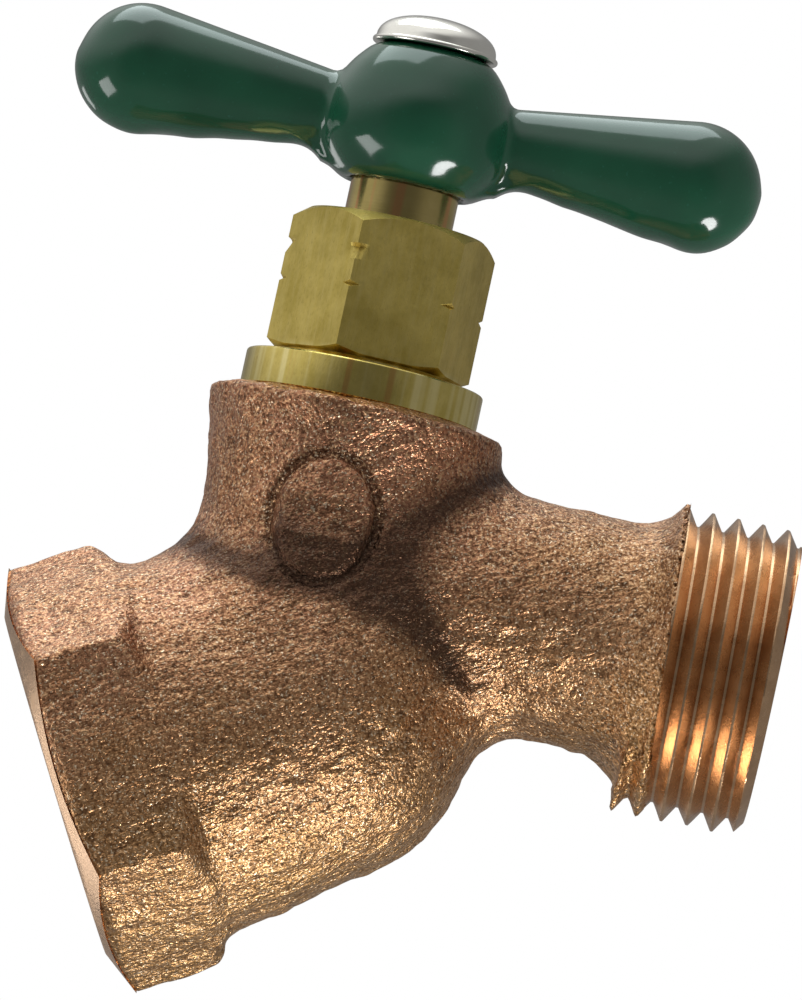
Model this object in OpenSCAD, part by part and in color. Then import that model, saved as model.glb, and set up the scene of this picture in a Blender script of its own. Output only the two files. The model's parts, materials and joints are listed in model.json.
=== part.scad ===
// Compression hose bib with a hexagonal female inlet, a leaning neck and a male hose-thread outlet.
// Origin at the centre of the inlet mouth. The inlet runs along +X, away from the supply pipe, and +Z is up.
// The stem leans towards the outlet, and the outlet is square to the stem.

/* [Layout] */
// Lean of the stem from vertical, which is also the outlet's slope
lean = 29; // [25:1:33]
// Distance of the point where the stem and outlet axes cross, along X
cross_x = 26.7; // [26.5:0.1:28]
// Height of that point above the inlet axis
cross_z = 9.8; // [9.5:0.1:11]

/* [Inlet] */
// Inlet hexagon across its flats
inlet_af = 33; // [30:0.5:36]
// Length of the inlet hexagon
inlet_hex_len = 10.1; // [8:0.1:11]
// Diameter of the pipe-thread hole, 3/4-14 NPT at its crests
inlet_bore_d = 23.7; // [20:0.1:25]
// Depth of the pipe thread
inlet_thread_len = 13.2; // [9:0.1:13.4]

/* [Body] */
// Barrel diameter behind the hexagon
barrel_d = 33.6; // [31:0.2:36]
// Barrel diameter where its rounded end starts
barrel_end_d = 30.8; // [29:0.2:32]
// Place of the barrel's rounded end along X
barrel_end_x = 22; // [21:0.1:23]
// Height of the neck's machined top above the outlet axis
neck_top = 15.7; // [15:0.1:17]
// Neck diameter at its top
neck_top_d = 25.4; // [24:0.2:28]
// Neck diameter at its waist
neck_waist_d = 22.8; // [22:0.2:24]

/* [Outlet] */
// Outside diameter of the hose thread, 3/4-11.5 NH
hose_thread_d = 26.98; // [24:0.01:28]
// Length of the hose thread
hose_thread_len = 11.2; // [8:0.1:14]
// Distance of the outlet mouth from the stem axis
outlet_reach = 40.1; // [36:0.1:46]
// Diameter of the outlet's round branch
branch_d = 20.4; // [20:0.2:21.4]
// How far the cast branch sits above the thread's axis
branch_rise = 0.8; // [0:0.05:0.9]
// Diameter of the water outlet
outlet_bore_d = 16.4; // [14:0.1:17]

/* [Valve works] */
// Diameter of the water way through the seat
seat_bore_d = 10.4; // [9:0.1:11]
// Depth of the seat below the outlet axis
seat_depth = 8.3; // [8:0.1:8.6]
// Diameter of the stem's plain shaft
stem_d = 9.525; // [8.5:0.005:10]
// Outside diameter of the stem's lifting thread
lift_thread_d = 15.86; // [14.6:0.02:15.9]
// How far the stem rises from shut to open
lift = 5.715; // [3:0.005:5.8]

/* [Packing nut] */
// Diameter of the nut's round flange
flange_d = 21; // [19:0.5:24]
// Height of the flange
flange_h = 3.2; // [2:0.1:4]
// Nut hexagon across its flats
nut_af = 15.875; // [14:0.005:17]
// Height of the hexagon
nut_hex_h = 12.05; // [9:0.05:13]
// Turn of the hexagon about the stem
nut_turn = 14; // [0:1:59]
// Diameter of the nut's male thread
nut_thread_d = 17.3; // [16.6:0.1:17.3]

/* [Handle] */
// Length of the handle over both ends
handle_len = 60.5; // [50:0.5:70]
// Largest diameter of the handle's rounded ends
handle_end_d = 11.3; // [10:0.1:12]
// Taper of each side of the arms, in degrees
handle_taper = 8.3; // [6:0.1:9]
// Diameter of the hub
hub_d = 17; // [15:0.1:20]
// Thickness of the vinyl coat
coat = 0.8; // [0.5:0.1:1.2]
// Bare shaft between the nut and the handle
stem_gap = 3.5; // [2:0.1:6]
// Diameter of the handle screw's head
cap_d = 11.1; // [9:0.1:13]

/* [Hidden] */
$fn = 96;
eps = 0.01;
fit_gap = 0.07;                                   // radial clearance of a turning fit
arc_steps = 14;

inlet_ac = inlet_af / cos(30);                    // inlet hexagon across its corners
mouth_face_r = inlet_af / 2 - 1.3;                // flat end inside the hexagon's bevel
mouth_bevel_len = 1.5;

ledge_z = neck_top - 5.2;                         // shelf that the base washer rests on
boss_bottom_z = -1.5;                             // underside of the lifting-thread boss
lift_bore_r = lift_thread_d / 2 + fit_gap;
boss_r = lift_bore_r + 1.8;
upper_chamber_r = 8.4;
floor_z = -seat_depth - 1;                        // floor round the seat ring
roof_z = floor_z - 2;                             // roof of the lower chamber
seat_ring_r = seat_bore_d / 2 + 0.8;
lower_chamber_r = 9.8;
lower_chamber_x = 21.9;
lower_chamber_z = -3;
link_r = 8;                                       // passage from the thread to the lower chamber

thread_start = outlet_reach - hose_thread_len;
flare_start = thread_start - 2.8;
flare_foot_r = 10.4;
flare_r = 12.1;

cone_h = 1;                                       // bevelled top of the flange
nut_bottom_z = ledge_z + 1.1;
nut_hex_z = neck_top + flange_h + cone_h;
nut_top_z = nut_hex_z + nut_hex_h;
nut_ac = nut_af / cos(30);
pack_r = 6.6;
base_washer_h = 0.8;
friction_ring_h = 0.8;
packing_h = 6;
packing_z = ledge_z + base_washer_h;
pack_top_z = packing_z + packing_h + friction_ring_h;

washer_h = 3.3;
washer_r = 6.35;
cup_depth = 1.8;
cup_r = 7.2;
cup_roof_z = washer_h - seat_depth;
cup_rim_z = cup_roof_z - cup_depth;
lift_thread_bottom_z = cup_roof_z + 0.8;
lift_thread_top_z = ledge_z - lift - 0.285;
screw_hole_r = 2.42;
screw_r = 2.38;
screw_len = 10;

hub_bottom_z = nut_top_z + stem_gap;
hub_below = 5.6;                                  // hub below the arms' axis
hub_above = 6.6;                                  // hub above the arms' axis
arm_z = hub_bottom_z + hub_below;
hub_top_z = arm_z + hub_above;
tang_w = 7.1;
tang_bottom_z = hub_bottom_z + coat + 1.6;
tang_top_z = hub_top_z - coat - 1.2;
cap_rim = 0.85;
cap_dome = 2.2;

// Sets its children in the stem's frame: +Z up the stem, +X out of the outlet
module on_stem() {
    translate([cross_x, 0, cross_z]) rotate([0, lean, 0]) children();
}

// Turns a profile of [radius, distance] points about +X
module turned_along_x(profile) {
    rotate([0, 90, 0]) rotate_extrude() polygon(profile);
}

// A ring with a square section
module ring(outer, inner, height) {
    difference() {
        cylinder(r = outer, h = height);
        translate([0, 0, -1]) cylinder(r = inner, h = height + 2);
    }
}

// A round hole along the stem between two heights
module stem_hole(radius, low, high) {
    translate([0, 0, low]) cylinder(r = radius, h = high - low);
}

// Inlet hexagon with its turned mouth and rounded back corners
module inlet_hex() {
    back = inlet_hex_len - 2;
    corner = inlet_ac / 2;
    intersection() {
        rotate([0, 90, 0]) cylinder(d = inlet_ac, h = inlet_hex_len, $fn = 6);
        turned_along_x([[0, 0], [mouth_face_r, 0], [corner, mouth_bevel_len], [corner + 0.2, mouth_bevel_len],
                        [corner + 0.2, back], [barrel_d / 2, inlet_hex_len], [0, inlet_hex_len]]);
    }
}

// Barrel behind the hexagon with its rounded blind end
module barrel() {
    end_r = barrel_end_d / 2;
    turned_along_x(concat(
        [[0, 3], [barrel_d / 2, 3], [barrel_d / 2, inlet_hex_len]],
        [for (i = [0 : arc_steps - 1])
            let (a = 90 * i / arc_steps) [end_r * cos(a), barrel_end_x + end_r * sin(a)]],
        [[0, barrel_end_x + end_r]]));
}

// Neck that carries the packing nut
module neck() {
    waist_r = neck_waist_d / 2;
    rotate_extrude() polygon([[0, -7], [waist_r, -7], [waist_r, 6], [waist_r + 0.3, 9],
        [neck_top_d / 2, neck_top - 2], [neck_top_d / 2, neck_top - 1.2],
        [neck_top_d / 2 - 0.5, neck_top - 0.5], [flange_d / 2 + 0.4, neck_top], [0, neck_top]]);
}

// Outlet branch, its flare and the hose thread's envelope
module outlet() {
    thread_r = hose_thread_d / 2;
    translate([0, 0, branch_rise]) rotate([0, 90, 0]) cylinder(d = branch_d, h = flare_start + 1);
    turned_along_x([[0, flare_start - 1], [flare_foot_r, flare_start - 1], [flare_foot_r, flare_start],
        [flare_r, thread_start], [thread_r, thread_start], [thread_r, outlet_reach - 1.2],
        [thread_r - 1.2, outlet_reach], [0, outlet_reach]]);
}

// Water way from the inlet mouth to the lower chamber
module inlet_passage() {
    bore_r = inlet_bore_d / 2;
    translate([-1, 0, 0]) rotate([0, 90, 0]) cylinder(r = bore_r, h = inlet_thread_len + 1);
    intersection() {
        union() {
            translate([lower_chamber_x, 0, lower_chamber_z]) sphere(r = lower_chamber_r);
            translate([inlet_thread_len - 1, 0, lower_chamber_z]) rotate([0, 90, 0])
                cylinder(r = link_r, h = lower_chamber_x - inlet_thread_len + 1);
        }
        on_stem() translate([0, 0, roof_z - 40]) cylinder(r = 40, h = 40);
    }
}

// Upper chamber, lifting-thread bore and the counterbore for the nut
module stem_passage() {
    difference() {
        stem_hole(upper_chamber_r, floor_z, boss_bottom_z);
        translate([0, 0, floor_z - eps])
            cylinder(r1 = seat_ring_r + 0.6, r2 = seat_ring_r, h = 1 + eps);
    }
    stem_hole(seat_bore_d / 2, roof_z - 1, -seat_depth + 1);
    stem_hole(lift_bore_r, boss_bottom_z - 1, ledge_z + 1);
    stem_hole(nut_thread_d / 2 + fit_gap, ledge_z, neck_top + 1);
}

// Water way from the upper chamber to the hose
module outlet_passage() {
    bore_r = outlet_bore_d / 2;
    translate([boss_r, 0, 0]) rotate([0, 90, 0]) cylinder(r = bore_r, h = outlet_reach);
    intersection() {
        translate([lift_bore_r - 2, 0, 0]) rotate([0, 90, 0]) cylinder(r = bore_r - 0.5, h = 5);
        translate([0, -20, boss_bottom_z - 40]) cube([40, 40, 40]);
    }
}

module valve_body() {
    color([0.55, 0.33, 0.22]) difference() {
        union() {
            inlet_hex();
            barrel();
            on_stem() neck();
            on_stem() outlet();
        }
        inlet_passage();
        on_stem() stem_passage();
        on_stem() outlet_passage();
    }
}

module packing_nut() {
    corner = nut_ac / 2;
    groove_z = nut_hex_z + 5.6;
    color([0.71, 0.6, 0.28]) on_stem() difference() {
        union() {
            stem_hole(nut_thread_d / 2, nut_bottom_z, neck_top + eps);
            rotate_extrude() polygon([[0, neck_top], [flange_d / 2, neck_top],
                [flange_d / 2, neck_top + flange_h], [corner - 1, nut_hex_z], [0, nut_hex_z]]);
            intersection() {
                translate([0, 0, nut_hex_z - 0.4]) rotate([0, 0, nut_turn])
                    cylinder(d = nut_ac, h = nut_hex_h + 0.4, $fn = 6);
                rotate_extrude() polygon([[0, nut_hex_z - 0.4], [corner + 0.1, nut_hex_z - 0.4],
                    [corner + 0.1, groove_z - 0.35], [corner - 0.35, groove_z],
                    [corner + 0.1, groove_z + 0.35], [corner + 0.1, nut_top_z - 1.1],
                    [nut_af / 2 - 0.2, nut_top_z], [0, nut_top_z]]);
            }
        }
        stem_hole(pack_r, nut_bottom_z - 1, pack_top_z);
        stem_hole(stem_d / 2 + fit_gap, pack_top_z - 1, nut_top_z + 1);
    }
}

module packing_friction_ring() {
    color("goldenrod") on_stem() translate([0, 0, packing_z + packing_h])
        ring(pack_r - 0.05, stem_d / 2 + fit_gap, friction_ring_h);
}

module stem_packing() {
    color("dimgray") on_stem() translate([0, 0, packing_z])
        ring(pack_r - 0.02, stem_d / 2 + 0.03, packing_h);
}

module packing_base_washer() {
    color("goldenrod") on_stem() translate([0, 0, ledge_z])
        ring(nut_thread_d / 2 - 0.05, stem_d / 2 + fit_gap, base_washer_h);
}

module stem() {
    color([0.69, 0.55, 0.25]) on_stem() difference() {
        union() {
            rotate_extrude() polygon([[0, cup_rim_z], [cup_r, cup_rim_z],
                [cup_r, lift_thread_bottom_z], [lift_thread_d / 2, lift_thread_bottom_z + 0.6],
                [lift_thread_d / 2, lift_thread_top_z - 0.6], [lift_thread_d / 2 - 0.6, lift_thread_top_z],
                [stem_d / 2, lift_thread_top_z], [stem_d / 2, tang_bottom_z], [0, tang_bottom_z]]);
            translate([-tang_w / 2, -tang_w / 2, tang_bottom_z - 1])
                cube([tang_w, tang_w, tang_top_z - tang_bottom_z + 1]);
        }
        stem_hole(washer_r + 0.1, cup_rim_z - 1, cup_roof_z);
        stem_hole(screw_hole_r, cup_roof_z - 1, cup_roof_z + screw_len - washer_h + 1.5);
        stem_hole(screw_hole_r, tang_top_z - screw_len + 0.5, tang_top_z + 1);
    }
}

module seat_washer() {
    color([0.12, 0.12, 0.13]) on_stem() translate([0, 0, -seat_depth])
        ring(washer_r, screw_hole_r + 0.08, washer_h);
}

module washer_screw() {
    head_r = 3.6;
    head_h = 1.6;
    color("goldenrod") on_stem() difference() {
        union() {
            stem_hole(head_r, -seat_depth - head_h, -seat_depth);
            stem_hole(screw_r, -seat_depth - 0.1, screw_len - seat_depth);
        }
        translate([-head_r - 1, -0.4, -seat_depth - head_h - 1]) cube([2 * head_r + 2, 0.8, 1.8]);
    }
}

// The handle's outer shape, drawn in by shrink all round
module handle_form(shrink) {
    end_r = handle_end_d / 2 - shrink;
    ball_x = (handle_len - handle_end_d) / 2;
    root_r = (end_r - ball_x * sin(handle_taper)) / cos(handle_taper);
    swing = 90 + handle_taper;
    for (side = [0, 180]) translate([0, 0, arm_z]) rotate([0, 0, side])
        turned_along_x(concat([[0, 0], [root_r, 0]],
            [for (i = [0 : arc_steps - 1]) let (a = swing * i / arc_steps - handle_taper)
                [end_r * cos(a), ball_x + end_r * sin(a)]],
            [[0, ball_x + end_r]]));
    hub_r = hub_d / 2 - shrink;
    low = hub_bottom_z + shrink;
    high = hub_top_z - shrink;
    rotate_extrude() polygon([[0, low], [5.5 - shrink, low], [6.8 - shrink, low + 1],
        [hub_r - 0.5, arm_z - 2.6], [hub_r, arm_z - 0.6], [hub_r - 0.2, arm_z + 1.2],
        [hub_r - 1.3, arm_z + 3.6], [6.4 - shrink, high - 0.9], [5.6 - shrink, high], [0, high]]);
}

// The space inside the handle for the stem, its tang and the screw
module handle_sockets() {
    stem_hole(stem_d / 2 + 0.05, hub_bottom_z - 1, tang_bottom_z);
    translate([-tang_w / 2 - 0.05, -tang_w / 2 - 0.05, tang_bottom_z - 1])
        cube([tang_w + 0.1, tang_w + 0.1, tang_top_z - tang_bottom_z + 1.3]);
    stem_hole(screw_r + 0.2, tang_top_z - 1, hub_top_z + 1);
}

module handle_core() {
    color("gray") on_stem() difference() {
        handle_form(coat);
        handle_sockets();
    }
}

module handle_coating() {
    color([0.02, 0.22, 0.13]) on_stem() difference() {
        handle_form(0);
        handle_form(coat);
        stem_hole(stem_d / 2 + 0.15, hub_bottom_z - 1, hub_bottom_z + 3);
        stem_hole(screw_r + 0.6, hub_top_z - 3, hub_top_z + 1);
    }
}

module handle_screw() {
    cap_r = cap_d / 2;
    dome_foot_r = cap_r - 0.35;
    color("silver") on_stem() {
        rotate_extrude() polygon(concat(
            [[0, hub_top_z - 8], [screw_r, hub_top_z - 8], [screw_r, hub_top_z],
             [cap_r - 0.25, hub_top_z], [cap_r, hub_top_z + 0.25], [cap_r, hub_top_z + cap_rim - 0.25]],
            [for (i = [0 : arc_steps - 1]) let (a = 90 * i / arc_steps)
                [dome_foot_r * cos(a), hub_top_z + cap_rim + cap_dome * sin(a)]],
            [[0, hub_top_z + cap_rim + cap_dome]]));
    }
}

valve_body();
packing_nut();
packing_friction_ring();
stem_packing();
packing_base_washer();
stem();
seat_washer();
washer_screw();
handle_core();
handle_coating();
handle_screw();
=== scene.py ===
"""Hose bib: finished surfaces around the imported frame.

Shapes are worked out in millimetres and written as meshes in metres. The row frame has its origin
at the centre of the inlet mouth, with the inlet running along +X and +Z up. Turned parts sit on the
stem axis or on the outlet axis, which cross at CROSS.
"""

import json
import math

import bmesh
import bpy
import numpy as np
from mathutils import Matrix, Vector


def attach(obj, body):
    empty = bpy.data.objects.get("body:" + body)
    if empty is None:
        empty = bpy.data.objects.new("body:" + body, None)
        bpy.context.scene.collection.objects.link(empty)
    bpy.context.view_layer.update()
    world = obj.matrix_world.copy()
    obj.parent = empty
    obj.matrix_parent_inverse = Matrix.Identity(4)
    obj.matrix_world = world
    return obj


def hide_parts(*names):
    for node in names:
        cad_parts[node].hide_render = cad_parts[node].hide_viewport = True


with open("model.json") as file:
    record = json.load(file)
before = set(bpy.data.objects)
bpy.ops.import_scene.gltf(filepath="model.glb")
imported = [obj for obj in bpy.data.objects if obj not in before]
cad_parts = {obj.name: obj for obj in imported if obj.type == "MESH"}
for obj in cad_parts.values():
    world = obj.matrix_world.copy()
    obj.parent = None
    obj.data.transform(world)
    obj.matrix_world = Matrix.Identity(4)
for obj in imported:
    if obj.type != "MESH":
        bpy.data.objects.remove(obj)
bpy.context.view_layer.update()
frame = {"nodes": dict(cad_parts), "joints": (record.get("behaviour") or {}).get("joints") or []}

MM = 0.001
joints = {j["name"]: j for j in frame["joints"]}
STEM = np.array(joints["stem_turn"]["axis"], float)
CROSS = np.array(joints["stem_turn"]["pos_m"], float) / MM
OUTLET = np.array((STEM[2], 0.0, -STEM[0]))
SIDE = np.array((0.0, 1.0, 0.0))
INLET = np.array((1.0, 0.0, 0.0))

# ---------------------------------------------------------------- sizes shared by several pieces
HEX_FLAT = 16.6  # inlet hexagon, centre to flat
HEX_LEN = 10.1
MOUTH_FACE_R = 15.2  # flat end face inside the bevel
BEVEL_SLOPE = 1.5 / 3.85  # bevel depth for each millimetre of radius
INLET_MINOR_R = 11.85
INLET_MAJOR_R = 12.95
INLET_DEPTH = 13.2
PIPE_PITCH = 1.814
NECK_TOP = 15.7
OUTLET_END = 40.1
HOSE_CREST_R = 13.49
HOSE_ROOT_R = 12.05
HOSE_PITCH = 2.209
FIRST_CREST = 29.8
OUTLET_BORE_R = 8.2
ARM_Z = 41.05
HUB_TOP = 47.65
BRANCH_RISE = 1.0  # the cast branch sits this far above the outlet axis
BARREL_END_X, BARREL_END_R = 22.2, 15.1  # where the barrel runs into its domed end
SEAT_RING_R, SEAT_RING_HALF = 5.7, 0.55
SEAT_Z = -8.4
INLET_ROWS, INLET_TURNS = 12, 9  # mesh rows in one turn of thread, and turns drawn
HOSE_ROWS, HOSE_TURNS_IN, HOSE_TURNS_OUT = 20, 3, 6
CAMERA_AIM = (34.4, 0.0, 14.0)


# ---------------------------------------------------------------- meshes from arrays
def make_mesh(name, verts, faces, material, body, replaced=(), sharp=None, merge=None):
    """A piece from points in millimetres: smooth shaded, with edges over `sharp` degrees kept hard."""
    mesh = bpy.data.meshes.new(name)
    mesh.from_pydata([tuple(v) for v in np.asarray(verts, float) * MM], [], [tuple(f) for f in faces])
    if merge:
        bm = bmesh.new()
        bm.from_mesh(mesh)
        bmesh.ops.remove_doubles(bm, verts=bm.verts, dist=merge * MM)
        bmesh.ops.dissolve_degenerate(bm, edges=bm.edges, dist=merge * MM)
        bmesh.ops.recalc_face_normals(bm, faces=bm.faces)
        bm.to_mesh(mesh)
        bm.free()
    mesh.polygons.foreach_set("use_smooth", np.ones(len(mesh.polygons), bool))
    if sharp is not None:
        mesh.set_sharp_from_angle(angle=math.radians(sharp))
    mesh.materials.append(material)
    obj = bpy.data.objects.new(name, mesh)
    bpy.context.scene.collection.objects.link(obj)
    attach(obj, body)
    if replaced:
        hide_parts(*replaced)
    return obj


def soften_edges(obj, width, segments=2, angle=28):
    """A small bevel on the hard edges, which catches the light as a machined edge does."""
    bevel = obj.modifiers.new("edge", "BEVEL")
    bevel.width = width * MM
    bevel.segments = segments
    bevel.limit_method = "ANGLE"
    bevel.angle_limit = math.radians(angle)
    bevel.use_clamp_overlap = True
    bevel.harden_normals = False


def lathe_frame(origin, axis, zero):
    """Columns take a lathe's own x, y, z (z along the axis) into the row frame."""
    axis = axis / np.linalg.norm(axis)
    return np.stack((zero, np.cross(axis, zero), axis), 1), np.asarray(origin, float)


ON_INLET = lathe_frame((0, 0, 0), INLET, SIDE)
ON_STEM = lathe_frame(CROSS, STEM, OUTLET)
ON_OUTLET = lathe_frame(CROSS, OUTLET, STEM)


def polar_solid(name, rows, place, material, body, replaced=(), sharp=30, steps=192, start=0.0,
                closed=True, spiral=None):
    """A turned or milled solid: rows(angles) gives z and r of each profile point at each angle.

    spiral is the first and last row that climb a thread, and the rows in one turn: where the angles
    close the circle, those rows join the rows one turn further on.
    """
    angles = start + np.linspace(0, 2 * math.pi, steps, endpoint=False)
    z, r = rows(angles)
    z, r = (np.broadcast_to(a, (len(z), steps)) for a in (np.array(z, float), np.array(r, float)))
    axes, origin = place
    local = np.stack((r * np.cos(angles), r * np.sin(angles), z), -1)
    verts = (local @ axes.T + origin).reshape(-1, 3)
    count = len(z)
    joined = np.arange(count)
    if spiral:
        first, last, per_turn = spiral
        joined[first:last + 1] = np.minimum(joined[first:last + 1] + per_turn, last)
    faces = []
    for i in range(count if closed else count - 1):
        n = (i + 1) % count
        here, there = i * steps, n * steps
        faces += [(here + j, here + j + 1, there + j + 1, there + j) for j in range(steps - 1)]
        faces.append((here + steps - 1, joined[i] * steps, joined[n] * steps, there + steps - 1))
    return make_mesh(name, verts, faces, material, body, replaced, sharp, merge=0.0008)


def stack(rows, angles):
    """Profile rows, each a pair of numbers or of arrays over the angles, as two full tables."""
    flat = np.ones_like(angles)
    return (np.array([flat * z for z, _ in rows]), np.array([flat * r for _, r in rows]))


def arc(cz, cr, radius, a0, a1, steps=6):
    """Profile points on an arc, with angles from the +z direction towards +r, in degrees."""
    return [(cz + radius * math.cos(math.radians(a)), cr + radius * math.sin(math.radians(a)))
            for a in np.linspace(a0, a1, steps)]


# ---------------------------------------------------------------- noise and distance fields
def noise3(p, cell, seed, stretch=(1, 1, 1)):
    """Smooth random field from -1 to 1 with bumps about one cell wide."""
    size = 48
    lattice = np.random.default_rng(seed).uniform(-1, 1, (size, size, size)).astype(np.float32)
    q = p / (cell * np.asarray(stretch, float))
    i = np.floor(q).astype(np.int64)
    f = (q - i).astype(np.float32)
    f = f * f * (3 - 2 * f)
    i %= size
    j = (i + 1) % size
    x0, y0, z0 = i[..., 0], i[..., 1], i[..., 2]
    x1, y1, z1 = j[..., 0], j[..., 1], j[..., 2]
    fx, fy, fz = f[..., 0], f[..., 1], f[..., 2]
    low = ((lattice[x0, y0, z0] * (1 - fx) + lattice[x1, y0, z0] * fx) * (1 - fy)
           + (lattice[x0, y1, z0] * (1 - fx) + lattice[x1, y1, z0] * fx) * fy)
    high = ((lattice[x0, y0, z1] * (1 - fx) + lattice[x1, y0, z1] * fx) * (1 - fy)
            + (lattice[x0, y1, z1] * (1 - fx) + lattice[x1, y1, z1] * fx) * fy)
    return low * (1 - fz) + high * fz


def smooth_union(a, b, k):
    """Two distance fields joined with a fillet about k wide."""
    h = np.clip(0.5 + 0.5 * (b - a) / k, 0, 1)
    return b * (1 - h) + a * h - k * h * (1 - h)


def smooth_cut(a, b, k):
    """The space inside both fields, with its edge rounded about k wide."""
    return -smooth_union(-a, -b, k)


def polar(p, origin, axis):
    """How far points are along an axis, and out from it."""
    q = p - origin
    t = q @ axis
    return t, np.sqrt(np.maximum((q * q).sum(-1) - t * t, 1e-9))


def spline(t, *knots):
    """A smooth radius along an axis, through (position, radius) knots."""
    x, y = np.array(knots, float).T
    i = np.clip(np.searchsorted(x, t) - 1, 0, len(x) - 2)
    slopes = np.gradient(y, x)
    h = x[i + 1] - x[i]
    u = np.clip((t - x[i]) / h, 0, 1)
    return ((2 * u ** 3 - 3 * u ** 2 + 1) * y[i] + (u ** 3 - 2 * u ** 2 + u) * h * slopes[i]
            + (3 * u ** 2 - 2 * u ** 3) * y[i + 1] + (u ** 3 - u ** 2) * h * slopes[i + 1])


def hex_radius(angles, flat, turn=0.0):
    """Radius of a hexagon whose flats face `turn` and every 60 degrees from it."""
    folded = (angles - turn + math.pi / 6) % (math.pi / 3) - math.pi / 6
    return flat / np.cos(folded)


def cut_edge(upward):
    """Where the cast skin ends and the cut thread begins, along the outlet; upward is 1 at the top."""
    return 30.45 - 0.78 * upward + 0.25 * upward ** 2


def cast_form(p, blends=(2.0, 5.0, 5.0)):
    """Distance to the sand-cast outside of the body, before anything is cut into it."""
    t, r = p[..., 0], np.sqrt(p[..., 1] ** 2 + p[..., 2] ** 2 + 1e-9)
    flats = np.abs(p[..., 1]) - HEX_FLAT
    for a in (60, 120):
        c, s = math.cos(math.radians(a)), math.sin(math.radians(a))
        flats = smooth_cut(flats, np.abs(p[..., 1] * c + p[..., 2] * s) - HEX_FLAT, 0.25)
    back = t - HEX_LEN + 0.3 * np.maximum(r - HEX_FLAT, 0)
    hexagon = np.maximum(smooth_cut(flats, back, 1.3), -t)
    wall = r - spline(t, (-2, 16.5), (9, 16.5), (16, 16.1), (BARREL_END_X, BARREL_END_R))
    dome = np.sqrt((t - BARREL_END_X) ** 2 + r ** 2) - BARREL_END_R
    barrel = np.where(t > BARREL_END_X, dome, np.maximum(wall, 2 - t))
    stem_z, stem_r = polar(p, CROSS, STEM)
    neck_r = spline(stem_z, (-9, 11.0), (2, 11.4), (8, 11.7), (12, 12.3), (14.6, 12.85), (16, 13.15))
    neck = np.maximum(stem_r - neck_r, -7 - stem_z)
    neck = smooth_cut(neck, stem_z - NECK_TOP - 0.15 + 0.25 * np.maximum(stem_r - 10.4, 0), 0.6)
    out_z, out_r = polar(p, CROSS + STEM * BRANCH_RISE, OUTLET)
    q = p - CROSS
    height = q @ STEM
    centre_r = np.sqrt(height ** 2 + p[..., 1] ** 2 + 1e-9)
    upward = height / centre_r
    edge = cut_edge(upward)
    before = edge - out_z
    over = spline(before, (-1, 13.6), (0, 13.3), (0.5, 12.5), (1.2, 11.6), (2.2, 10.8), (3.6, 10.45),
                  (9, 10.35), (17, 10.45), (31, 10.4))
    under = spline(before, (-1, 13.1), (0, 12.9), (1.6, 12.75), (2.6, 12.45), (3.7, 11.5), (5.2, 10.5),
                   (7.5, 10.15), (17, 10.3), (31, 10.4))
    branch = out_r - over - (under - over) * np.clip(0.5 - 0.5 * upward, 0, 1) ** 1.5
    phase = (out_z - FIRST_CREST) / HOSE_PITCH - np.arctan2(-p[..., 1], height) / (2 * math.pi)
    ridge = centre_r - HOSE_ROOT_R - 0.02 - (HOSE_CREST_R - HOSE_ROOT_R) * thread_height(phase + 0.5)
    ridge = np.maximum(0.7 * ridge, 28.6 - out_z) + 4 * np.clip(upward + 0.78, 0, 1)
    branch = smooth_union(branch, ridge, 0.4)
    branch = np.maximum(np.maximum(branch, -before), -2 - out_z)
    body = smooth_union(hexagon, barrel, blends[0])
    body = smooth_union(body, neck, blends[1])
    return smooth_union(body, branch, blends[2])


def crease_shade(p):
    """How deep a point lies in the hollows under the neck and between the branch and the barrel, where the
    cast skin gets painted shade.
    """
    q = p - CROSS
    across, up = q @ OUTLET, q @ STEM
    under_neck = np.clip((up + 3.5) / 2.5 + np.clip((across - 2.0) / 4.0, 0, 2), 0, 1)
    return (cast_form(p, (2.0, 0.01, 0.01)) - cast_form(p)) * under_neck


def thread_height(phase, root=0.1, crest=0.09):
    """A thread's section from 0 at the root to 1 at the crest, with narrow flats; phase counts turns."""
    ramp = 1 - 2 * np.abs((phase % 1) - 0.5)
    return np.clip((ramp - root) / (1 - root - crest), 0, 1)


def cast_mark(p):
    """A plain oval pad with a groove round it, on the near side of the neck."""
    q = p - CROSS
    across, up = q @ OUTLET + 0.6, q @ STEM - 5.0
    e = np.sqrt((across / 4.6) ** 2 + (up / 5.6) ** 2)
    groove = np.exp(-((e - 1) * 5.0 / 0.45) ** 2)
    field = 1 / (1 + np.exp((e - 0.92) * 25))
    bars = np.exp(-((np.abs(up) - 1.7) / 0.5) ** 2) * field
    return np.where(q[..., 1] < 0, 0.30 * field + 0.22 * bars - 0.5 * groove, 0)


def sand_noise(p):
    """Height of the sand-cast skin: broad waves, lumps and grains."""
    broad = noise3(p, 6.5, 11) * 0.13 + noise3(p, 2.9, 12, (1.6, 1, 1)) * 0.08
    rough = 0.75 + 0.5 * noise3(p, 11.0, 15)
    lumps = noise3(p, 1.15, 13, (1.7, 1, 1)) * 0.15
    grain = noise3(p, 0.72, 14, (1.3, 1, 1)) * 0.08
    return broad + rough * (lumps + grain)


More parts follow.
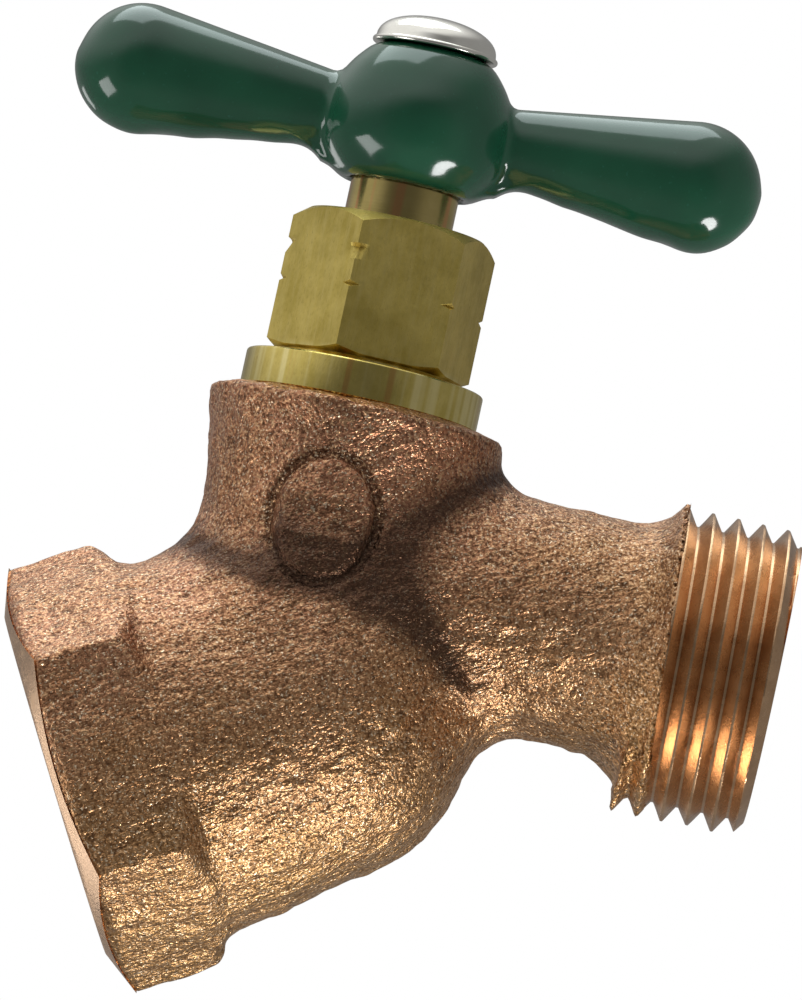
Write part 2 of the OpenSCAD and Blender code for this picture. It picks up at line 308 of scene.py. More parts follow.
def passages(p):
    """Distance to the hollow inside of the body: negative in the waterway."""
    t, r = p[..., 0], np.sqrt(p[..., 1] ** 2 + p[..., 2] ** 2 + 1e-9)
    inlet = np.maximum(r - 13.3, t - INLET_DEPTH)
    q = p - np.array((21.9, 0, -3.0))
    ball = np.sqrt((q * q).sum(-1)) - 9.8
    link = np.maximum(np.sqrt(q[..., 1] ** 2 + q[..., 2] ** 2 + 1e-9) - 8.0,
                      np.maximum(t - 21.9, INLET_DEPTH - 1 - t))
    z, s = polar(p, CROSS, STEM)
    lower = np.maximum(smooth_union(ball, link, 1.5), z + 11.3)

    def bore(radius, low, high):
        return np.maximum(s - radius, np.maximum(low - z, z - high))

    seat = np.maximum(np.abs(s - SEAT_RING_R) - SEAT_RING_HALF, z - SEAT_Z)
    upper = np.maximum(bore(8.4, -9.3, -1.5), -seat)
    upright = np.minimum(np.minimum(bore(5.2, -12.3, -7.3), upper),
                         np.minimum(bore(8.0, -2.5, 11.5), bore(8.72, 10.5, NECK_TOP + 1)))
    x, w = polar(p, CROSS, OUTLET)
    outlet = np.maximum(w - OUTLET_BORE_R - 0.15, np.maximum(9.8 - x, x - OUTLET_END - 1))
    port = np.maximum(np.maximum(w - 7.7, np.maximum(6 - x, x - 11)), z + 1.5)
    hollow = np.minimum(np.minimum(inlet, lower), upright)
    return np.minimum(hollow, np.minimum(outlet, port))


def cast_body(p):
    """The cast piece: the rough outside, cut by the mouth's bevel and face and by the waterway.

    The seat and the bores round the stem are machined, so they stay smooth and clear of the stem.
    """
    outside = cast_form(p) - sand_noise(p) - cast_mark(p)
    t, r = p[..., 0], np.sqrt(p[..., 1] ** 2 + p[..., 2] ** 2 + 1e-9)
    bevel = ((r - MOUTH_FACE_R) * BEVEL_SLOPE - t + 0.12) * 0.93
    outside = np.maximum(outside, np.maximum(bevel, 0.12 - t))
    stem_z, stem_r = polar(p, CROSS, STEM)
    machined = np.clip((stem_z + 11.5) / 1.5, 0, 1) * np.clip(10.2 - stem_r, 0, 1)
    inside = passages(p) + 0.45 * sand_noise(p) * (r < 11.5) * (1 - machined)
    return np.maximum(outside, -inside)


def surface_net(field, low, high, cell, rounds=1):
    """Points and quads of field = 0 on a grid, with the points then evened out along the surface."""
    axes = [np.arange(a, b + cell, cell) for a, b in zip(low, high)]
    shape = tuple(len(a) for a in axes)
    values = np.empty(shape, np.float32)
    for i, x in enumerate(axes[0]):
        plane = np.stack(np.meshgrid([x], axes[1], axes[2], indexing="ij"), -1)[0]
        values[i] = field(plane)
    inside = values < 0
    corner = [np.array((a, b, c)) for a in (0, 1) for b in (0, 1) for c in (0, 1)]
    cells = tuple(s - 1 for s in shape)
    count = np.zeros(cells, np.int8)
    for c in corner:
        count += inside[c[0]:c[0] + cells[0], c[1]:c[1] + cells[1], c[2]:c[2] + cells[2]]
    where = np.argwhere((count > 0) & (count < 8))
    index = -np.ones(cells, np.int64)
    index[tuple(where.T)] = np.arange(len(where))
    total, hits = np.zeros((len(where), 3)), np.zeros(len(where))
    for a in range(8):
        for b in range(a + 1, 8):
            if np.abs(corner[a] - corner[b]).sum() != 1:
                continue
            va = values[tuple((where + corner[a]).T)]
            vb = values[tuple((where + corner[b]).T)]
            crosses = (va < 0) != (vb < 0)
            s = np.where(crosses, va / np.where(crosses, va - vb, 1), 0)
            total += np.where(crosses[:, None], corner[a] + s[:, None] * (corner[b] - corner[a]), 0)
            hits += crosses
    points = np.asarray(low, float) + (where + total / hits[:, None]) * cell
    quads = []
    for axis in range(3):
        one = np.eye(3, dtype=int)[axis]
        u, v = np.eye(3, dtype=int)[(axis + 1) % 3], np.eye(3, dtype=int)[(axis + 2) % 3]
        size = [s - 1 if k == axis else s for k, s in enumerate(shape)]
        a = inside[:size[0], :size[1], :size[2]]
        b = inside[one[0]:one[0] + size[0], one[1]:one[1] + size[1], one[2]:one[2] + size[2]]
        edges = np.argwhere(a != b)
        edges = edges[(edges[:, (axis + 1) % 3] > 0) & (edges[:, (axis + 2) % 3] > 0)
                      & (edges[:, (axis + 1) % 3] < shape[(axis + 1) % 3] - 1)
                      & (edges[:, (axis + 2) % 3] < shape[(axis + 2) % 3] - 1)]
        ring = [index[tuple((edges + d).T)] for d in (-u - v, -v, 0 * u, -u)]
        quad = np.stack(ring, 1)
        out = a[tuple(edges.T)]
        quads.append(np.where(out[:, None], quad, quad[:, ::-1]))
    quads = np.concatenate(quads)
    quads = quads[(quads >= 0).all(1)]
    ends = np.concatenate([quads[:, (0, 1)], quads[:, (1, 2)], quads[:, (2, 3)], quads[:, (3, 0)]])
    ends = np.concatenate([ends, ends[:, ::-1]])
    share = np.bincount(ends[:, 0], minlength=len(points)).clip(1)[:, None]
    for round_ in range(rounds + 1):
        if round_:
            near = np.stack([np.bincount(ends[:, 0], points[ends[:, 1], k], len(points))
                             for k in range(3)], 1)
            points += 0.5 * (near / share - points)
        value = field(points)
        slope = gradient(field, points, value)
        size = np.maximum((slope * slope).sum(1), 0.2)
        points -= slope * np.clip(value / size, -0.4 * cell, 0.4 * cell)[:, None]
    return points, quads


def gradient(field, points, value, h=0.04):
    """Slope of the field at points where its value is already known."""
    return np.stack([(field(points + h * np.eye(3)[k]) - value) / h for k in range(3)], 1)


def set_attribute(obj, name, values):
    attribute = obj.data.attributes.new(name, "FLOAT", "POINT")
    attribute.data.foreach_set("value", np.asarray(values, np.float32))


# ---------------------------------------------------------------- materials
class Shader:
    """A short way to write a node material around one Principled BSDF."""

    def __init__(self, name, **settings):
        self.material = bpy.data.materials.new(name)
        self.material.use_nodes = True
        self.tree = self.material.node_tree
        self.surface = self.tree.nodes["Principled BSDF"]
        for key, value in settings.items():
            self.surface.inputs[key.replace("_", " ")].default_value = value
        self.place = self.node("ShaderNodeTexCoord").outputs["Object"]

    def node(self, kind, inputs=None, **settings):
        made = self.tree.nodes.new(kind)
        for key, value in settings.items():
            setattr(made, key, value)
        for key, value in (inputs or {}).items():
            self.feed(made.inputs[key], value)
        return made

    def feed(self, socket, value):
        if isinstance(value, bpy.types.NodeSocket):
            self.tree.links.new(value, socket)
        else:
            socket.default_value = value

    def noise(self, size, detail=3.0, rough=0.55, place=None, distortion=0.0):
        """Noise from 0 to 1 with features about `size` millimetres wide."""
        made = self.node("ShaderNodeTexNoise", {"Vector": place or self.place, "Scale": 1 / (size * MM),
                                                "Detail": detail, "Roughness": rough,
                                                "Distortion": distortion})
        return made.outputs["Fac"]

    def spread(self, value, low, high, to_low=0.0, to_high=1.0):
        made = self.node("ShaderNodeMapRange", {"Value": value, "From Min": low, "From Max": high,
                                                "To Min": to_low, "To Max": to_high})
        return made.outputs["Result"]

    def sum(self, a, b, operation="ADD"):
        return self.node("ShaderNodeMath", {0: a, 1: b}, operation=operation).outputs[0]

    def mix(self, factor, a, b, blend="MIX"):
        made = self.node("ShaderNodeMix", {"Factor": factor}, data_type="RGBA", blend_type=blend)
        for socket, value in ((made.inputs[6], a), (made.inputs[7], b)):
            self.feed(socket, (*value, 1.0) if isinstance(value, tuple) else value)
        return made.outputs[2]

    def stretch(self, axes, scale):
        """Object coordinates turned onto `axes` (rows), then scaled along each."""
        parts = []
        for row, s in zip(axes, scale):
            dot = self.node("ShaderNodeVectorMath", {0: self.place, 1: tuple(float(x) * s for x in row)},
                            operation="DOT_PRODUCT")
            parts.append(dot.outputs["Value"])
        made = self.node("ShaderNodeCombineXYZ", {0: parts[0], 1: parts[1], 2: parts[2]})
        return made.outputs[0]

    def attribute(self, name):
        return self.node("ShaderNodeAttribute", attribute_name=name).outputs["Fac"]

    def finish(self, colour=None, roughness=None, metallic=None, bumps=()):
        """Links what varies. Each bump is (height, strength, distance in millimetres)."""
        if colour is not None:
            self.feed(self.surface.inputs["Base Color"], colour)
        if roughness is not None:
            self.feed(self.surface.inputs["Roughness"], roughness)
        if metallic is not None:
            self.feed(self.surface.inputs["Metallic"], metallic)
        normal = None
        for height, strength, distance in bumps:
            made = self.node("ShaderNodeBump", {"Height": height, "Strength": strength,
                                                "Distance": distance * MM})
            if normal is not None:
                self.tree.links.new(normal, made.inputs["Normal"])
            normal = made.outputs["Normal"]
        if normal is not None:
            self.tree.links.new(normal, self.surface.inputs["Normal"])
        return self.material


def cast_bronze():
    s = Shader("cast_bronze")
    height = s.attribute("height")
    along = s.stretch((INLET, SIDE, (0.0, 0.0, 1.0)), (0.55, 1.0, 1.0))
    broad = s.noise(9.0, 3.0, 0.6)
    lumps = s.noise(0.8, 3.0, 0.6, along)
    grain = s.noise(0.3, 1.5, 0.6)
    sparks = s.noise(0.22, 1.0, 0.5)
    up = s.node("ShaderNodeSeparateXYZ", {0: s.place}).outputs["Z"]
    # painted light: the colour turns golden towards the bottom and pink towards the top, as the casting
    # looks under the light from below and from above
    top_lit_pink = s.mix(s.spread(broad, 0.38, 0.62), (0.48, 0.222, 0.112), (0.55, 0.255, 0.145))
    bottom_lit_gold = s.mix(s.spread(broad, 0.38, 0.62), (0.46, 0.255, 0.098), (0.54, 0.30, 0.125))
    colour = s.mix(s.spread(up, -15 * MM, 12 * MM), bottom_lit_gold, top_lit_pink)
    # painted shade: the low pits of the sand skin and the groove round the mark are darkened
    colour = s.mix(s.spread(height, -0.32, -0.08, 0.7, 0.0), colour, (0.09, 0.042, 0.022))
    # painted shade: the hollows between the lumps are darkened
    colour = s.mix(s.spread(lumps, 0.48, 0.34, 0.0, 0.6), colour, (0.13, 0.06, 0.027))
    # painted glints: the highest grains are lightened as if catching the light
    colour = s.mix(s.spread(grain, 0.52, 0.66, 0.0, 0.7), colour, (0.90, 0.56, 0.30))
    colour = s.mix(s.spread(grain, 0.48, 0.34, 0.0, 0.7), colour, (0.08, 0.036, 0.018))
    # painted glints: small bright specks from the sparks noise
    colour = s.mix(s.spread(sparks, 0.62, 0.70, 0.0, 0.85), colour, (1.0, 0.80, 0.56))
    # painted shade: the cast skin darkens in the hollows under the neck and between the branch and the
    # barrel
    colour = s.mix(s.spread(s.attribute("crease_shade"), 0.2, 1.0, 0.0, 0.85), colour, (0.07, 0.038, 0.026))
    return s.finish(colour, s.spread(grain, 0.3, 0.7, 0.48, 0.30), s.spread(lumps, 0.3, 0.6, 0.88, 1.0),
                    [(lumps, 1.0, 0.35), (grain, 0.9, 0.15), (sparks, 0.6, 0.06)])


def machined_bronze(name, axis, painted_light_gain=1.0):
    """Freshly cut bronze: copper-orange, with fine lathe lines round the axis. The last argument scales
    the whole colour; above 1 it is painted light.
    """
    s = Shader(name, Metallic=1.0)
    lines = s.noise(0.12, 2.0, 0.6, s.stretch((axis, axis, axis), (1.0, 0.0, 0.0)))
    patches = s.noise(2.6, 4.0, 0.6, s.stretch((axis, np.cross(axis, SIDE), SIDE), (0.35, 1.0, 1.0)))
    grain = s.noise(0.25, 3.0, 0.6)
    colour = s.mix(s.spread(patches, 0.3, 0.7), (0.56 * painted_light_gain, 0.335 * painted_light_gain, 0.185 * painted_light_gain),
                   (0.78 * painted_light_gain, 0.50 * painted_light_gain, 0.29 * painted_light_gain))
    colour = s.mix(s.spread(grain, 0.6, 0.75, 0.0, 0.4), colour, (0.95, 0.72, 0.52))
    colour = s.mix(s.spread(grain, 0.38, 0.25, 0.0, 0.5), colour, (0.3, 0.15, 0.085))
    return s.finish(colour, s.spread(patches, 0.3, 0.7, 0.2, 0.32), None,
                    [(lines, 0.35, 0.03), (grain, 0.45, 0.05)])


def nut_brass():
    s = Shader("nut_brass", Metallic=1.0)
    along = s.stretch((OUTLET, SIDE, STEM), (1.0, 1.0, 0.12))
    streaks = s.noise(0.5, 4.0, 0.6, along)
    fine = s.noise(0.14, 3.0, 0.65, s.stretch((OUTLET, SIDE, STEM), (1.0, 1.0, 0.3)))
    cloud = s.noise(3.0, 4.0, 0.65)
    colour = s.mix(s.spread(cloud, 0.35, 0.65), (0.58, 0.45, 0.11), (0.76, 0.60, 0.175))
    colour = s.mix(s.spread(streaks, 0.42, 0.72, 0.0, 0.4), colour, (0.78, 0.64, 0.25))
    colour = s.mix(s.spread(fine, 0.42, 0.28, 0.0, 0.4), colour, (0.36, 0.27, 0.075))
    turned_place = s.stretch((OUTLET, SIDE, STEM), (1.0, 1.0, 1.0))
    up = s.node("ShaderNodeSeparateXYZ", {0: turned_place}).outputs["Z"]
    crossing = float(CROSS @ STEM) * MM
    milled = s.spread(up, crossing + (NECK_TOP + 3.6) * MM, crossing + (NECK_TOP + 4.6) * MM)
    rough = s.node("ShaderNodeMix", {"Factor": milled, "A": s.spread(fine, 0.3, 0.7, 0.26, 0.18),
                                     "B": s.spread(fine, 0.3, 0.7, 0.6, 0.45)}).outputs["Result"]
    # painted reflections: bright and copper bands across the turned flange
    reflection_bands = s.noise(1.6, 2.0, 0.5, s.stretch((OUTLET, SIDE, STEM), (1.0, 1.0, 0.0)))
    turned = s.sum(1.0, milled, "SUBTRACT")
    painted_reflection_bright = s.sum(s.spread(reflection_bands, 0.5, 0.6, 0.0, 0.6), turned, "MULTIPLY")
    painted_reflection_copper = s.sum(s.spread(reflection_bands, 0.40, 0.34, 0.0, 0.7), turned, "MULTIPLY")
    colour = s.mix(painted_reflection_bright, colour, (0.95, 0.82, 0.40))
    colour = s.mix(painted_reflection_copper, colour, (0.62, 0.34, 0.10))
    return s.finish(colour, rough, None, [(streaks, 0.12, 0.06), (fine, 0.22, 0.03)])


def stem_brass():
    s = Shader("stem_brass", Metallic=1.0)
    lines = s.noise(0.1, 2.0, 0.6, s.stretch((STEM, STEM, STEM), (1.0, 0.0, 0.0)))
    cloud = s.noise(2.5, 3.0, 0.55)
    colour = s.mix(s.spread(cloud, 0.35, 0.65), (0.47, 0.37, 0.13), (0.56, 0.44, 0.17))
    colour = s.mix(s.spread(lines, 0.4, 0.25, 0.0, 0.5), colour, (0.25, 0.15, 0.05))
    # painted reflection: copper streaks along the stem
    reflection_bands = s.noise(1.3, 2.0, 0.5, s.stretch((OUTLET, SIDE, STEM), (1.0, 1.0, 0.0)))
    colour = s.mix(s.spread(reflection_bands, 0.55, 0.62, 0.0, 0.75), colour, (0.62, 0.31, 0.13))
    return s.finish(colour, s.spread(lines, 0.3, 0.7, 0.22, 0.13), None, [(lines, 0.3, 0.02)])


def green_vinyl():
    s = Shader("green_vinyl", Roughness=0.13, Coat_Weight=0.35, Coat_Roughness=0.05)
    s.surface.inputs["Specular IOR Level"].default_value = 0.5
    sag = s.noise(6.0, 2.0, 0.4)
    ripple = s.noise(1.6, 2.0, 0.5)
    speck = s.noise(0.35, 2.0, 0.5)
    colour = s.mix(s.spread(sag, 0.3, 0.7), (0.006, 0.062, 0.030), (0.010, 0.086, 0.042))
    colour = s.mix(s.spread(speck, 0.68, 0.76, 0.0, 0.4), colour, (0.02, 0.13, 0.085))
    return s.finish(colour, s.spread(ripple, 0.3, 0.7, 0.10, 0.17), None,
                    [(sag, 0.08, 0.3), (ripple, 0.08, 0.06), (speck, 0.08, 0.02)])


def nickel_plate():
    s = Shader("nickel_plate", Metallic=1.0)
    cloud = s.noise(2.2, 3.0, 0.5)
    scratch = s.noise(0.25, 3.0, 0.6, s.stretch((OUTLET, SIDE, STEM), (0.15, 1.0, 1.0)))
    colour = s.mix(s.spread(cloud, 0.3, 0.7), (0.90, 0.88, 0.80), (0.97, 0.95, 0.88))
    return s.finish(colour, s.spread(scratch, 0.35, 0.7, 0.10, 0.24), None, [(scratch, 0.06, 0.02)])


def plain(name, dark, light, metallic, low, high, size):
    """A simple two-tone finish for parts that are mostly out of sight."""
    s = Shader(name, Metallic=metallic)
    grain = s.noise(size, 3.0, 0.6)
    return s.finish(s.mix(s.spread(grain, 0.3, 0.7), dark, light), s.spread(grain, 0.3, 0.7, low, high),
                    None, [(grain, 0.3, 0.05)])


CAST = cast_bronze()
# painted light: the inlet's cut bronze is drawn 1.3 times brighter than the outlet's, to light up the
# mouth's bevel
CUT_INLET = machined_bronze("cut_inlet", INLET, 1.3)
CUT_OUTLET = machined_bronze("cut_outlet", OUTLET)
NUT_BRASS = nut_brass()
STEM_BRASS = stem_brass()
VINYL = green_vinyl()
NICKEL = nickel_plate()
GRAPHITE = plain("graphite", (0.02, 0.02, 0.022), (0.06, 0.06, 0.065), 0.3, 0.5, 0.7, 0.4)
RUBBER = plain("rubber", (0.012, 0.012, 0.012), (0.03, 0.03, 0.03), 0.0, 0.55, 0.75, 0.5)
ZINC = plain("zinc", (0.28, 0.28, 0.29), (0.42, 0.42, 0.43), 0.9, 0.35, 0.55, 0.7)

for node, material in {"packing_friction_ring": STEM_BRASS, "stem_packing": GRAPHITE,
                       "packing_base_washer": STEM_BRASS, "stem": STEM_BRASS, "seat_washer": RUBBER,
                       "washer_screw": STEM_BRASS, "handle_core": ZINC}.items():
    data = frame["nodes"][node].data
    data.materials.clear()
    data.materials.append(material)
    data.polygons.foreach_set("use_smooth", np.ones(len(data.polygons), bool))
    data.set_sharp_from_angle(angle=math.radians(32))

# ---------------------------------------------------------------- the cast body
CELL = 0.36
points, quads = surface_net(cast_body, (-0.7, -18, -20.5), (62, 18, 37), CELL)
body = make_mesh("body_casting", points, quads, CAST, "valve", ["valve_body"])
# the height also sets the painted shade in the pits and in the mark's groove
set_attribute(body, "height", sand_noise(points) + 1.3 * cast_mark(points))
# depth of the hollows that get painted shade
set_attribute(body, "crease_shade", crease_shade(points))


def inlet_mouth(angles):
    """End face, bevel and female pipe thread of the inlet, embedded in the casting."""
    outer = hex_radius(angles, HEX_FLAT + 0.04)
    bevel_z = (outer - MOUTH_FACE_R) * BEVEL_SLOPE
    rows = [(bevel_z + 0.5, outer - 1.2), (bevel_z, outer - 0.02), (bevel_z, outer)]
    rows += [(bevel_z * s, MOUTH_FACE_R + (outer - MOUTH_FACE_R) * s) for s in (0.66, 0.33, 0.0)]
    lead = 13.25
    rows += [(0.0, lead + (MOUTH_FACE_R - lead) * s) for s in (0.66, 0.33, 0.0)]
    turn = angles / (2 * math.pi)
    for i in range(-INLET_ROWS, INLET_TURNS * INLET_ROWS):
        z = np.clip((i / INLET_ROWS + turn) * PIPE_PITCH, 0, INLET_DEPTH + 0.1)
        depth = thread_height(np.full_like(angles, i / INLET_ROWS), 0.12, 0.2)
        r = INLET_MINOR_R + (INLET_MAJOR_R - INLET_MINOR_R) * depth
        r = np.where(z <= 0, lead, np.maximum(r, lead - 1.1 * z))
        r = np.where(z > INLET_DEPTH, INLET_MINOR_R, r)
        rows.append((z, r))
    rows += [(INLET_DEPTH + 0.1, INLET_MINOR_R), (INLET_DEPTH + 0.1, 13.9), (2.6, 13.9)]
    return stack(rows, angles)


def hose_end(angles):
    """The male hose thread, its end face and the bore behind it."""
    turn = angles / (2 * math.pi)
    low, high = cut_edge(np.cos(angles)) - 0.15, OUTLET_END
    rows = [(low - 4, OUTLET_BORE_R + 0.3), (low - 0.6, HOSE_ROOT_R - 1.2), (low, HOSE_ROOT_R - 0.1)]
    for i in range(-HOSE_TURNS_IN * HOSE_ROWS, HOSE_TURNS_OUT * HOSE_ROWS):
        z = FIRST_CREST + (i / HOSE_ROWS + turn) * HOSE_PITCH
        height = thread_height(np.full_like(angles, i / HOSE_ROWS + 0.5))
        wear = 0.09 * noise3(np.stack((np.cos(angles) * 6, np.sin(angles) * 6, z), -1), 1.0, 31)
        crest = HOSE_CREST_R - 0.06 + wear
        r = HOSE_ROOT_R + (crest - HOSE_ROOT_R) * height
        z = np.clip(z, low, high)
        r = np.minimum(r, HOSE_ROOT_R + 0.15 + (high - z) * 1.35)
        r = np.where(z <= low, HOSE_ROOT_R - 0.1, np.where(z >= high, HOSE_ROOT_R + 0.15, r))
        rows.append((z, r))
    rows += [(high, np.full_like(angles, r)) for r in (11.2, 10.2, 9.3)]
    rows += [(high, OUTLET_BORE_R + 0.35), (high - 0.35, OUTLET_BORE_R)]
    rows += [(z, OUTLET_BORE_R) for z in (36.0, 30.0, 24.0, 18.0, 12.5)]
    rows += [(12.5, OUTLET_BORE_R + 0.3)]
    return stack(rows, angles)


polar_solid("inlet_mouth_cut", inlet_mouth, ON_INLET, CUT_INLET, "valve", sharp=24,
            steps=240, spiral=(9, 8 + (1 + INLET_TURNS) * INLET_ROWS, INLET_ROWS))
polar_solid("hose_thread_cut", hose_end, ON_OUTLET, CUT_OUTLET, "valve", sharp=30,
            steps=240, spiral=(3, 2 + (HOSE_TURNS_IN + HOSE_TURNS_OUT) * HOSE_ROWS, HOSE_ROWS))

# ---------------------------------------------------------------- the packing nut
NUT_TURN = math.radians(12.3)
NUT_FLAT = 7.9375
NUT_CORNER = NUT_FLAT / math.cos(math.pi / 6)
NUT_HEX_Z = 19.5
NUT_TOP = 32.15


def packing_nut(angles):
    """Flange, hexagon with its corner groove and end chamfers, guard bore and hidden male thread."""
    hexagon = hex_radius(angles, NUT_FLAT, NUT_TURN + math.pi / 6)
    rows = [(11.6, 6.6), (11.6, 8.65), (NECK_TOP, 8.65), (NECK_TOP, 10.2), (15.95, 10.45),
            (18.85, 10.45)]
    rows += arc(18.85, 10.2, 0.25, 90, 12, 4)
    rows += [(NUT_HEX_Z - 0.2, 8.3), (NUT_HEX_Z - 0.2, 7.5), (NUT_HEX_Z + 0.1, 7.45)]
    foot = np.clip(NUT_HEX_Z + 0.35 + (hexagon - 8.35) * 0.4, NUT_HEX_Z + 0.3, None)
    rows += [(NUT_HEX_Z + 0.1, np.minimum(hexagon, 8.35) - 0.3), (foot, hexagon)]
    groove_z, groove_depth, groove_slope = 25.55, 0.42, 1.4
    bite = np.clip(hexagon - (NUT_CORNER - groove_depth), 0, None)
    half = bite / groove_slope
    rows += [(groove_z - half, hexagon), (groove_z, hexagon - bite), (groove_z + half, hexagon)]
    nick_z = 28.6
    nick = sum(deep * np.exp(-(((angles - NUT_TURN - math.radians(corner)) / 0.075) ** 2))
               for corner, deep in ((240, 0.65), (180, 0.5)))
    rows += [(nick_z - 0.9, hexagon), (nick_z + 0.2, hexagon - nick), (nick_z + 0.5, hexagon)]
    top_r = 7.74
    chamfer_z = NUT_TOP - (hexagon - top_r) * (1.1 / (NUT_CORNER - top_r))
    rows += [(chamfer_z, hexagon), (NUT_TOP, top_r), (NUT_TOP, 5.15), (NUT_TOP - 0.3, 4.83),
             (18.1, 4.83), (18.1, 6.6)]
    return stack(rows, angles)


nut = polar_solid("packing_nut_turned", packing_nut, ON_STEM, NUT_BRASS, "valve",
                  ["packing_nut"], sharp=24, steps=216, start=NUT_TURN)
soften_edges(nut, 0.07)


# ---------------------------------------------------------------- the handle
def cone_ball(x, r, end_r, ball_x, taper):
    """An arm: a cone that widens outwards and ends in a ball."""
    s, c = math.sin(taper), math.cos(taper)
    on_cone = (r - end_r / c) * c - (x - ball_x) * s
    ball = np.sqrt((x - ball_x) ** 2 + r ** 2) - end_r
    past = (x - ball_x) * c + r * s
    return np.where(past > 0, ball, on_cone)


HANDLE_END_R = 5.65
BALL_X = 60.5 / 2 - HANDLE_END_R
TAPER = math.radians(8.3)


def stem_local(p):
    """Points measured along the arms, sideways, and along the stem from the arms' height."""
    q = p - CROSS
    return q @ OUTLET, q @ SIDE, q @ STEM - ARM_Z


def hub_form(x, y, z):
    """The round hub between the arms, a turned shape cut off flat at both ends."""
    r = np.sqrt(x * x + y * y + 1e-9)
    wall = r - spline(z, (-6.2, 5.3), (-4.9, 6.55), (-3.0, 7.95), (-0.8, 8.5), (1.4, 8.35), (3.1, 7.65),
                      (4.65, 6.75), (6.1, 5.5), (6.9, 4.6))
    return smooth_cut(wall, np.maximum(z - 6.6, -5.6 - z), 0.7)


def dipped_handle(p):
    """The dipped vinyl: arms, hub and gussets run together, sagging a little under the arms."""
    x, y, z = stem_local(p)
    a = np.abs(x)
    r = np.sqrt(y * y + z * z + 1e-9)
    arms = cone_ball(a, r, HANDLE_END_R, BALL_X, TAPER)
    gusset = np.maximum(np.abs(y) - 1.3, (a - 11.8) * 0.66 - (z + 1.0) * 0.75)
    gusset = np.maximum(gusset, np.maximum(-4.6 - z, z))
    form = smooth_union(hub_form(x, y, z), arms, 0.8)
    form = smooth_union(form, gusset, 1.3)
    sag = np.clip((a - 8) / 6, 0, 1) * np.exp(-((z + r * 0.92) / 1.6) ** 2)
    form = form - 0.13 * sag * (0.6 + noise3(p, 2.3, 41)) - 0.02 * noise3(p, 5.0, 42)
    radial = np.sqrt(x * x + y * y + 1e-9)
    holes = np.minimum(np.maximum(radial - 4.92, z + 2.6), np.maximum(radial - 3.0, 3.6 - z))
    return np.maximum(form, -holes)


ARM_END = 31.0
HANDLE_ROOM = np.array((7, 9.2, 7))
handle_low = CROSS + STEM * ARM_Z - np.abs(OUTLET) * ARM_END - HANDLE_ROOM
handle_high = CROSS + STEM * ARM_Z + np.abs(OUTLET) * ARM_END + HANDLE_ROOM
points, quads = surface_net(dipped_handle, handle_low, handle_high, 0.42, rounds=4)
make_mesh("handle_vinyl", points, quads, VINYL, "stem_and_handle",
          ["handle_coating"])


# ---------------------------------------------------------------- the handle screw
def screw_cap(angles):
    """A thin rim under a full dome, on the screw's shank."""
    rim_r, dome_r, dome_z, dome_h = 5.55, 5.3, HUB_TOP + 0.5, 2.54
    rows = [(HUB_TOP - 8, 0.0), (HUB_TOP - 8, 2.38), (HUB_TOP, 2.38), (HUB_TOP, rim_r - 0.4)]
    rows += arc(HUB_TOP + 0.24, rim_r - 0.24, 0.24, 180, 10, 9)
    rows += [(dome_z - 0.02, dome_r + 0.04)]
    rows += [(dome_z + dome_h * math.sin(a) ** 0.85, dome_r * math.cos(a))
             for a in np.linspace(0.04, math.pi / 2, 20)]
    return stack(rows, angles)


polar_solid("handle_screw_cap", screw_cap, ON_STEM, NICKEL, "stem_and_handle",
            ["handle_screw"], sharp=50, steps=128, closed=False)


# ---------------------------------------------------------------- room, camera and light
def pale_floor():
    """A wide pale floor well below the bib, which hangs on its pipe."""
    floor_z, radius, rings, steps = -0.5, 3.0, 6, 64
    bm = bmesh.new()
    bmesh.ops.create_circle(bm, cap_ends=True, radius=radius, segments=steps)
    for _ in range(rings):
        bmesh.ops.inset_region(bm, faces=[f for f in bm.faces if len(f.verts) == steps],
                               thickness=radius / (rings + 1), depth=0)
    mesh = bpy.data.meshes.new("floor")
    bm.to_mesh(mesh)
    bm.free()
    s = Shader("floor_paper", Roughness=0.9)
    haze = s.noise(900.0, 2.0, 0.4)
    mesh.materials.append(s.finish(s.mix(haze, (0.80, 0.80, 0.79), (0.84, 0.84, 0.83))))
    floor = bpy.data.objects.new("floor", mesh)
    floor.location = (0, 0, floor_z)
    floor.visible_glossy = False
    bpy.context.scene.collection.objects.link(floor)


def soft_light(name, direction, distance, size, power, shape="RECTANGLE", tint=(1.0, 1.0, 1.0)):
    """A soft box that faces the object from `direction`."""
    data = bpy.data.lights.new(name, "AREA")
    data.shape = shape
    data.size, data.size_y = size
    data.energy = power
    data.color = tint
    light = bpy.data.objects.new(name, data)
    aim = Vector(direction).normalized()
    light.location = Vector(CAMERA_AIM) * MM + aim * distance
    light.rotation_mode = "QUATERNION"
    light.rotation_quaternion = aim.to_track_quat("Z", "Y")
    bpy.context.scene.collection.objects.link(light)


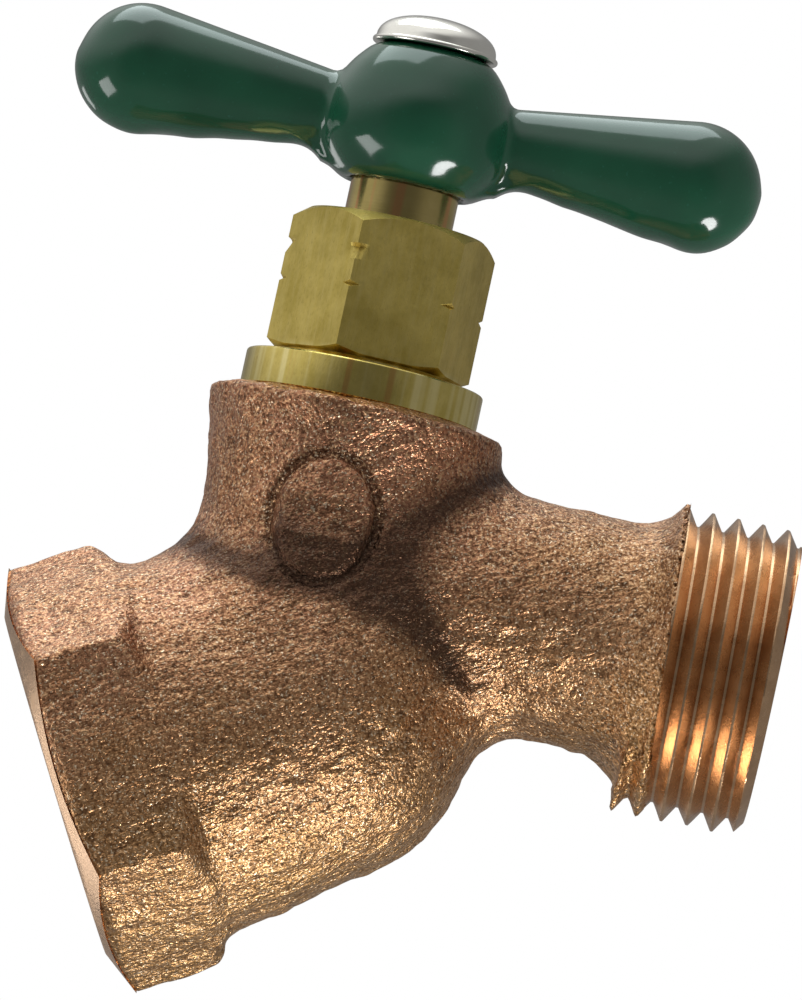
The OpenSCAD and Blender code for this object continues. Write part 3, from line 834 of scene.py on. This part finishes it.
def camera():
    """A long lens in front of the bib, a little below it, rolled so that the outlet sits low."""
    azimuth, elevation, roll = (math.radians(a) for a in (-1.7, -4.87, -16.9))
    distance, lens = 0.8, 332.9
    back = Vector((math.sin(azimuth) * math.cos(elevation), -math.cos(azimuth) * math.cos(elevation),
                   math.sin(elevation)))
    right = Vector((math.cos(azimuth), math.sin(azimuth), 0))
    up = back.cross(right)
    image_right = math.cos(roll) * right + math.sin(roll) * up
    image_up = -math.sin(roll) * right + math.cos(roll) * up
    data = bpy.data.cameras.new("camera")
    data.lens = lens
    data.sensor_width = 36.0
    data.clip_start, data.clip_end = 0.05, 20.0
    obj = bpy.data.objects.new("camera", data)
    offset = image_right * 0.96 * MM + image_up * 1.37 * MM
    place = Vector(CAMERA_AIM) * MM + back * distance + offset
    obj.matrix_world = Matrix((image_right, image_up, back)).transposed().to_4x4()
    obj.location = place
    bpy.context.scene.collection.objects.link(obj)
    bpy.context.scene.camera = obj


pale_floor()
camera()
soft_light("left", (-1.0, -0.28, -0.2), 0.9, (0.34, 0.42), 1.7)
soft_light("top", (0.25, 0.3, 0.95), 0.8, (0.62, 0.62), 2.7, tint=(0.86, 0.98, 1.0))
soft_light("below", (0.1, -0.2, -0.97), 0.42, (0.17, 0.17), 1.0, "ELLIPSE")
soft_light("bevel_glint", (-0.66, 0.75, 0.0), 0.9, (0.16, 0.26), 0.22)


def studio():
    """A white surround that lights mostly from above; the floor sends light back from below."""
    world = bpy.data.worlds.new("studio")
    world.use_nodes = True
    tree = world.node_tree
    nodes, link = tree.nodes, tree.links.new

    def ramp(value, low, high, to_low, to_high):
        made = nodes.new("ShaderNodeMapRange")
        made.interpolation_type = "SMOOTHSTEP"
        for key, number in zip(("From Min", "From Max", "To Min", "To Max"), (low, high, to_low, to_high)):
            made.inputs[key].default_value = number
        link(value, made.inputs["Value"])
        return made.outputs["Result"]

    direction = nodes.new("ShaderNodeSeparateXYZ")
    link(nodes.new("ShaderNodeTexCoord").outputs["Generated"], direction.inputs[0])
    level = nodes.new("ShaderNodeMath")
    level.operation = "MULTIPLY"
    link(ramp(direction.outputs["Z"], 0.3, 0.8, 0.24, 0.85), level.inputs[0])
    link(ramp(direction.outputs["Y"], -0.98, -0.6, 0.5, 1.0), level.inputs[1])
    seen = nodes.new("ShaderNodeLightPath").outputs["Is Camera Ray"]
    choose = nodes.new("ShaderNodeMix")
    link(seen, choose.inputs["Factor"])
    link(level.outputs[0], choose.inputs["A"])
    choose.inputs["B"].default_value = 1.0
    link(choose.outputs["Result"], nodes["Background"].inputs["Strength"])
    nodes["Background"].inputs["Color"].default_value = (1.0, 1.0, 1.0, 1.0)
    bpy.context.scene.world = world


studio()
bpy.context.scene.view_settings.view_transform = "Standard"
